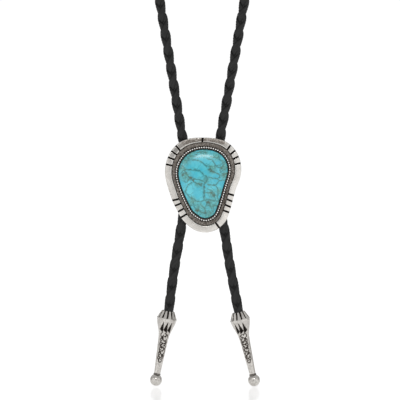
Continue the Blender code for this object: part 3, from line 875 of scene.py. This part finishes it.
# The painted nearness to a vein is frayed by a fine noise, so its width comes and goes
ragged = combine(tree, "MULTIPLY_ADD", fray, 0.9, attribute(tree, "vein"))
strong = remap(tree, ragged, (1.0, 1.36), (0.0, 0.8))
lines = combine(tree, "MAXIMUM", strong, combine(tree, "MAXIMUM", wide, close))
halo = remap(tree, ragged, (0.55, 1.1), (0.0, 0.4))
rock = ramp(tree, drift, (0.38, "#27727A"), (0.62, "#49705F"))
veined = mix(tree, lines, mix(tree, halo, body, "#58A9A4"), rock)
hole = combine(tree, "MULTIPLY_ADD", fray, 1.6, attribute(tree, "pocket"))
mud = remap(tree, hole, (1.05, 1.9), (0.0, 0.85))
feed(shader, "Base Color", mix(tree, mud, veined, "#48604E"))
stone.data.materials[0] = turquoise
print(turquoise.name)

# %% [markdown]
# ## The clip
#
# Behind the slide, a sheet of nickel silver has its two edges rolled into channels for
# the cords. A strip is extruded step by step round the curl, Solidify gives it its
# thickness, and a small bevel breaks its edges.

# %% Roll the clip
CLIP_LOW, CLIP_HIGH = -3.0, 17.0
CHANNEL_RADIUS, CLIP_SHEET = 3.15, 0.9
CURL, CURL_STEPS = 300, 60
section = []
for k in range(CURL_STEPS + 1):
    turn = math.radians(CURL * (1 - k / CURL_STEPS))
    radius = CHANNEL_RADIUS + CLIP_SHEET / 2
    section.append((CHANNEL_X + radius * math.sin(turn), -radius * math.cos(turn)))
section += [(-x, y) for x, y in reversed(section)]
section = [(x * MM, CHEST_Y + y * MM) for x, y in section]

nickel, tree, shader = new_material("rolled_nickel_silver", Metallic=1.0)
# Rolling leaves lines along the sheet, about 0.3 mm apart
rolled = add(tree, "Mapping", [("Vector", add(tree, "TexCoord", output="Object")),
                               ("Scale", (3000.0, 3000.0, 60.0))])
lines = noise(tree, rolled, 1.0)
feed(shader, "Base Color", ramp(tree, lines, (0.3, "#B4B1A8"), (0.7, "#C9C6BE")))
feed(shader, "Roughness", remap(tree, lines, result=(0.28, 0.42)))

clip = placed(bpy.ops.mesh.primitive_plane_add, "rolled_clip", size=1.0)
corners = [(*spot, SLIDE_Z + height * MM)
           for height in (CLIP_LOW, CLIP_HIGH) for spot in section[:2]]
clip.data.vertices.foreach_set("co", np.ravel(corners))
bpy.ops.object.mode_set(mode="EDIT")
bpy.ops.mesh.select_all(action="DESELECT")
shape = bmesh.from_edit_mesh(clip.data)
for edge in shape.edges:
    if all((v.co.xy - Vector(section[1])).length < 1e-7 for v in edge.verts):
        edge.select_set(True)
bmesh.update_edit_mesh(clip.data)
for (x, y), (next_x, next_y) in zip(section[1:], section[2:]):
    bpy.ops.mesh.extrude_edges_move(TRANSFORM_OT_translate={"value": (next_x - x, next_y - y, 0)})
bpy.ops.object.mode_set(mode="OBJECT")
clip.data.materials.append(nickel)
wall = clip.modifiers.new("sheet", "SOLIDIFY")
wall.thickness, wall.offset, wall.use_even_offset = CLIP_SHEET * MM, 0.0, True
edges = clip.modifiers.new("filed edges", "BEVEL")
edges.width, edges.segments, edges.limit_method = 0.15 * MM, 2, "ANGLE"
edges.angle_limit = math.radians(50)
bpy.ops.object.modifier_apply(modifier=wall.name)
bpy.ops.object.modifier_apply(modifier=edges.name)
bpy.ops.object.shade_smooth_by_angle(angle=math.radians(35))
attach(clip, "root")
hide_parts("back_clip")
print("clip", len(clip.data.polygons), "faces")

# %% [markdown]
# ## The tips
#
# Each end of the cord sits in a silver tip: a fluted collar that flares, a shaft that
# tapers like a horn, and a ball. Its half section is drawn by extruding a point along it
# and spun round the axis. The cuts are then worked into it by moving its points inwards.

# %% Turn a tip on its axis
TIP_LENGTH, COLLAR = 43.4, 4.8
SOCKET_RADIUS, SOCKET_DEPTH = 3.15, 10.6
MOUTH, SHOULDER, SHAFT_END = 4.1, 6.35, 1.95
BALL, RING_RADIUS, RING_LENGTH = 3.72, 2.25, 0.8
TIP_STEP, TIP_SIDES = 0.22, 144
SHAFT = ((0, 1), (0.05, 0.908), (0.1, 0.81), (0.16, 0.655), (0.22, 0.49), (0.27, 0.385),
         (0.32, 0.31), (0.44, 0.235), (0.55, 0.195), (0.65, 0.15), (0.75, 0.11), (0.87, 0.05),
         (1, 0))
BALL_TOP = math.sqrt(BALL**2 - SHAFT_END**2)
SHAFT_STOP = TIP_LENGTH - BALL_TOP - RING_LENGTH


def tip_section():
    """Half section of a tip as rows of radius and depth below the mouth, in mm."""
    rows = [(0.0, SOCKET_DEPTH), (SOCKET_RADIUS, SOCKET_DEPTH), (SOCKET_RADIUS, SOCKET_DEPTH / 2),
            (SOCKET_RADIUS, 0.12), (SOCKET_RADIUS + 0.1, 0.0), (MOUTH - 0.15, 0.0),
            (MOUTH - 0.04, 0.04)]
    for depth in np.arange(TIP_STEP, COLLAR - 0.1, TIP_STEP):
        rows.append((MOUTH + (SHOULDER - MOUTH) * depth / COLLAR, depth))
    rows.append((SHOULDER, COLLAR))
    shares, left = zip(*SHAFT)
    for depth in np.arange(COLLAR + TIP_STEP, SHAFT_STOP, TIP_STEP):
        spot = (depth - COLLAR) / (SHAFT_STOP - COLLAR)
        rows.append((SHAFT_END + (SHOULDER - SHAFT_END) * np.interp(spot, shares, left), depth))
    rows.append((SHAFT_END, SHAFT_STOP))
    for turn in range(0, 181, 30):
        rows.append((SHAFT_END + (RING_RADIUS - SHAFT_END) * math.sin(math.radians(turn)),
                     SHAFT_STOP + RING_LENGTH * (1 - math.cos(math.radians(turn))) / 2))
    start = math.asin(SHAFT_END / BALL)
    for k in range(1, 49):
        turn = start + (math.pi - start) * k / 48
        rows.append((BALL * math.sin(turn) if k < 48 else 0.0, TIP_LENGTH - BALL * math.cos(turn)))
    return rows


def turn_tip(name):
    """Extrudes a point along the half section and spins it round the tip's axis."""
    rows = [(radius * MM, depth * MM) for radius, depth in tip_section()]
    made = placed(bpy.ops.mesh.primitive_circle_add, name, vertices=3, radius=MM,
                  location=(0, 0, 0))
    bpy.ops.object.mode_set(mode="EDIT")
    bpy.ops.mesh.select_all(action="SELECT")
    bpy.ops.mesh.merge(type="CENTER")
    bpy.ops.transform.translate(value=(rows[0][0], 0, -rows[0][1]))
    for (radius, depth), (next_radius, next_depth) in zip(rows, rows[1:]):
        bpy.ops.mesh.extrude_vertices_move(
            TRANSFORM_OT_translate={"value": (next_radius - radius, 0, depth - next_depth)})
    bpy.ops.mesh.select_all(action="SELECT")
    bpy.ops.mesh.spin(steps=TIP_SIDES, angle=2 * math.pi, center=(0, 0, 0), axis=(0, 0, 1))
    bpy.ops.mesh.select_all(action="SELECT")
    bpy.ops.mesh.remove_doubles(threshold=0.004 * MM)
    turn_outwards()
    return made


# %% [markdown]
# The cuts are laid out on the unrolled shaft, by the distance across, round the front,
# and the distance down from the mouth. A vine of S curves runs down the front, with a
# crescent in each of its bends, and a bow closes it below.


# %% Draw the cuts of a tip
PANEL_TOP, PANEL_END, BOW_TOP = 13.8, 30.4, 30.7
VINE_PITCH, CRESCENTS, FIRST_CRESCENT, CRESCENT_STEP = 4.4, 11, 14.6, 1.5
TAPER = (14, 31)              # between these depths the crescents get smaller
FLAME = ((0.35, 6.8), (-1.45, 11.7), (0.90, 13.3))    # its point above, its slanting foot below


def scroll_strokes(mirror):
    """Lines of the engraved panel, each an array of points across and down."""
    down = np.linspace(PANEL_TOP, PANEL_END, 90)
    width = np.interp(down, (PANEL_TOP, PANEL_END), (1.7, 1.05))
    wave = np.sin((down - PANEL_TOP) * 2 * math.pi / VINE_PITCH)
    strokes = [np.stack([mirror * width * wave, down], axis=1)]
    draw = np.random.default_rng(5)
    for k in range(CRESCENTS):
        centre = FIRST_CRESCENT + CRESCENT_STEP * k + draw.uniform(-0.3, 0.3)
        size = np.interp(centre, TAPER, (1.1, 0.8)) * draw.uniform(0.8, 1.25)
        hand = mirror * (-1 if k % 2 == 0 else 1)
        turn = np.linspace(-150, draw.uniform(60, 150), 14) + draw.uniform(-40, 40)
        turn = np.radians(turn) * hand
        middle = hand * np.interp(centre, TAPER, (1.65, 1.1))
        strokes.append(np.stack([middle + size * 0.75 * np.cos(turn) * hand,
                                 centre + size * np.sin(turn)], axis=1))
        low = centre + draw.uniform(0.8, 1.4)
        strokes.append(np.array([(-middle * 1.35, centre - 0.2), (-middle * 0.2, low)]))
    bow = np.radians(np.linspace(0, 180, 20))
    strokes.append(np.stack([np.cos(bow), BOW_TOP + 1.3 * np.sin(bow)], axis=1))
    return strokes


def inside_triangle(across, down, corners):
    """How deep points lie inside a triangle, in mm, and below zero outside it."""
    deep = np.full(len(across), 9.0)
    middle = corners.mean(axis=0)
    for a, b in zip(corners, np.roll(corners, -1, axis=0)):
        square = np.array([-(b - a)[1], (b - a)[0]]) / np.linalg.norm(b - a)
        square *= np.sign((middle - a) @ square)
        deep = np.minimum(deep, (across - a[0]) * square[0] + (down - a[1]) * square[1])
    return deep


FLATS, FLAT_FADE = 12, 1.2    # the flats fade out below the collar
MEAN_FLAT = math.cos(math.radians(7))    # keeps the collar's mean radius
FLUTE_HALF, FLUTE_DEPTH = 0.54, 0.62
FLAME_PITCH, FLAME_DEPTH = 2.6, 0.40
STROKE_HALF, STROKE_DEPTH = 0.35, 0.22
# How dark the painted shade makes the shaft and the ball, and how dark the lines at the ball's
# ring and the socket are
SHADE_BELOW_COLLAR, JOINT_DARK, SOCKET_DARK = 0.12, 0.72, 0.8


def work_tip(made, flute_roll, panel_roll, mirror):
    """Cuts the flats, flutes, flames and scrolls into a turned tip and darkens them."""
    points = places(made) / MM
    radius = np.hypot(points[:, 0], points[:, 1])
    angle = np.degrees(np.arctan2(points[:, 0], -points[:, 1]))
    down = -points[:, 2]
    outside = radius > SOCKET_RADIUS + 0.3
    low = down > SOCKET_DEPTH + 0.1
    # Painted shade darkens all below the collar, shaft and ball, so the collar's flats stay
    # brighter
    new, dark = radius.copy(), np.where(down > COLLAR, SHADE_BELOW_COLLAR, 0.0)
    # Twelve flats, with a flute filed along each corner between them
    half = 180 / FLATS
    on_collar = outside & (down < COLLAR + FLAT_FADE) & ~low
    turn = (angle - flute_roll + half) % (2 * half) - half
    fade = np.clip((COLLAR + FLAT_FADE - down) / FLAT_FADE, 0, 1)
    flat = math.cos(math.radians(half)) / np.cos(np.radians(half - np.abs(turn)))
    new = np.where(on_collar, new * (1 + (flat - MEAN_FLAT) * fade), new)
    aside = np.abs(np.radians(turn)) * radius
    flute = np.clip((FLUTE_HALF - aside) / 0.16, 0, 1)
    flute *= np.clip((COLLAR - 0.25 - down) / 0.25, 0, 1) * (outside & (down < COLLAR))
    new -= FLUTE_DEPTH * flute
    dark = np.maximum(dark, flute)
    # Three flames and the scrolls, round the front
    around = angle - panel_roll
    across = np.radians(around) * radius
    for k in (-1, 0, 1):
        deep = inside_triangle(across - FLAME_PITCH * k, down, np.array(FLAME) * (mirror, 1))
        flame = np.clip(deep / 0.14 + 1.2, 0, 1) * (np.abs(around) < 90) * outside
        new -= FLAME_DEPTH * flame
        dark = np.maximum(dark, flame)
    front = (outside | low) & (down > 13.5) & (down < 33) & (np.abs(around) < 100)
    spots = np.stack([across, down], axis=1)[front]
    near = np.full(len(spots), 9.0)
    for stroke in scroll_strokes(mirror):
        for a, b in zip(stroke, stroke[1:]):
            near = np.minimum(near, distance_to_line(spots, a, b))
    cut = np.clip((STROKE_HALF - near) / 0.16, 0, 1)
    new[front] -= STROKE_DEPTH * cut
    dark[front] = np.maximum(dark[front], cut * 0.85)
    # The joint of the ball keeps its dark line, and so does the inside of the socket
    joint = (np.abs(down - SHAFT_STOP - RING_LENGTH) < 0.3) | (np.abs(down - SHAFT_STOP) < 0.25)
    dark[joint & (radius < RING_RADIUS)] = JOINT_DARK
    dark[(radius < SOCKET_RADIUS + 0.2) & (down < SOCKET_DEPTH + 0.1)] = SOCKET_DARK
    scale = np.where(radius > 0.001, new / np.maximum(radius, 0.001), 1)
    points[:, :2] *= scale[:, None]
    made.data.vertices.foreach_set("co", (points * MM).ravel())
    made.data.update()
    paint(made, "tarnish_and_shade", dark)


# %% [markdown]
# Each tip hangs in line with its cord, so it leans outwards, and each was screwed on at
# its own angle, so its cuts face a little to one side.

# %% Make the two tips
# Roll of the flutes and of the panel in degrees, and which way the cuts lean
ROLLS = {"left": (3, 8, 1), "right": (10, -13, -1)}
TIP_SHIFT = 0.25              # both tips hang a little left of the end of their cord
for side, (x, height, lean) in TIPS.items():
    tip = turn_tip(side + "_silver_tip")
    work_tip(tip, *ROLLS[side])
    tip.data.materials.append(polished_silver)
    tip.location = ((x - TIP_SHIFT) * MM, CHEST_Y, SLIDE_Z + height * MM)
    tip.rotation_euler = (0, math.radians(-math.copysign(lean, x)), 0)
    bpy.ops.object.transform_apply(location=True, rotation=True, scale=True)
    bpy.ops.object.shade_smooth_by_angle(angle=math.radians(38))
    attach(tip, "root")
    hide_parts(side + "_tip")
    print(tip.name, len(tip.data.polygons), "faces")

# %% [markdown]
# The two tails hang free between the clip and their tips, and their real lengths are
# printed. The neck loop rests on a neck.

for side, tail in tail_braids.items():
    rows = tail_rows[side]
    print(tail.name, round(run_of(rows)[-1], 1), "mm")

# %% [markdown]
# ## Floor
#
# The tips hang just over a white glossy board, so a faint mirror image shows below them.

# %% Lay the floor
FLOOR_DROP = 0.6 * MM         # below the lower tip
white, tree, shader = new_material("white_acrylic_board", Roughness=0.18, IOR=1.25,
                                   Emission_Color=colour(1.0), Emission_Strength=0.28)
haze = noise(tree, add(tree, "TexCoord", output="Object"), 40.0)
feed(shader, "Base Color", ramp(tree, haze, (0.3, "#FAFAFA"), (0.7, "#FCFCFC")))
floor_z = min(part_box("left_tip")[0][2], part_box("right_tip")[0][2]) - FLOOR_DROP
floor = placed(bpy.ops.mesh.primitive_plane_add, "studio_floor", size=8.0,
               location=(0, 0, floor_z))
bpy.ops.object.transform_apply(location=True, rotation=True, scale=True)
floor.data.materials.append(white)
print("floor at", round(floor_z / MM, 1), "mm")

# %% [markdown]
# ## Light
#
# The tie hangs in a white tent whose back and sides are greyer. It is open in front,
# above the camera, where the room is dark, and that helps to draw the dark band along
# the top of the silver border, which is also painted in as shade. A softbox overhead puts
# the highlight on the stone, and a small one stands at the left.

# %% Set the light
TENT_STRENGTH, ROOM_GREY, ROOF_GREY = 1.04, 0.03, 0.62
world = bpy.data.worlds.new("white_tent")
bpy.context.scene.world = world
world.use_nodes = True
tree = world.node_tree
axes = add(tree, "SeparateXYZ", [("Vector", add(tree, "TexCoord", output="Generated"))])
x, y, z = axes.node.outputs
# The ramp runs from straight down, 0, over the horizon, 0.5, to straight up, 1
rise = remap(tree, z, (-1.0, 1.0))
opening = ramp(tree, rise, (0.505, 0.0), (0.53, 1.0), (0.62, 1.0), (0.65, 0.0), (1.0, 0.0))
front = remap(tree, y, (-0.5, -0.75))
# The opening is a sector: it ends along two slanting edges of the tent
right = combine(tree, "MULTIPLY_ADD", x, -1.5, z)
left = combine(tree, "MULTIPLY_ADD", x, 0.6, z)
sector = remap(tree, combine(tree, "MINIMUM", right, left), (-0.02, 0.02))
gap = combine(tree, "MULTIPLY", combine(tree, "MULTIPLY", sector, opening), front)
# The second ramp runs from the back, 0, over the sides, 0.5, to the front, 1
walls = ramp(tree, remap(tree, y, (1.0, -1.0)), (0.0, 1.0), (0.03, 0.9), (0.07, 0.5),
             (0.50, 0.55), (0.70, 1.0), (1.0, 0.92))
roofed = mix(tree, remap(tree, z, (0.35, 0.6)), walls, colour(ROOF_GREY))
tent = mix(tree, gap, roofed, colour(ROOM_GREY))
# Straight into the camera, the tent is plain white
straight = add(tree, "LightPath", output="Is Camera Ray")
background = tree.nodes["Background"]
feed(background, "Color", mix(tree, straight, tent, colour(1.0)))
feed(background, "Strength", TENT_STRENGTH)


def softbox(name, place, target, width, height, power):
    """A rectangular area light that looks at a point."""
    lamp = placed(bpy.ops.object.light_add, name, type="AREA", location=place)
    lamp.data.shape = "RECTANGLE"
    lamp.data.size, lamp.data.size_y, lamp.data.energy = width, height, power
    lamp.rotation_euler = (lamp.location - Vector(target)).to_track_quat("Z", "Y").to_euler()


MIDDLE = (0.0, CHEST_Y, SLIDE_Z)
softbox("high_softbox", (0.0, CHEST_Y - 1.0, SLIDE_Z + 0.55), MIDDLE, 0.36, 0.10, 1.1)
softbox("left_softbox", (-0.84, CHEST_Y - 1.0, SLIDE_Z + 0.42), MIDDLE, 0.09, 0.10, 0.25)
print("softboxes placed")
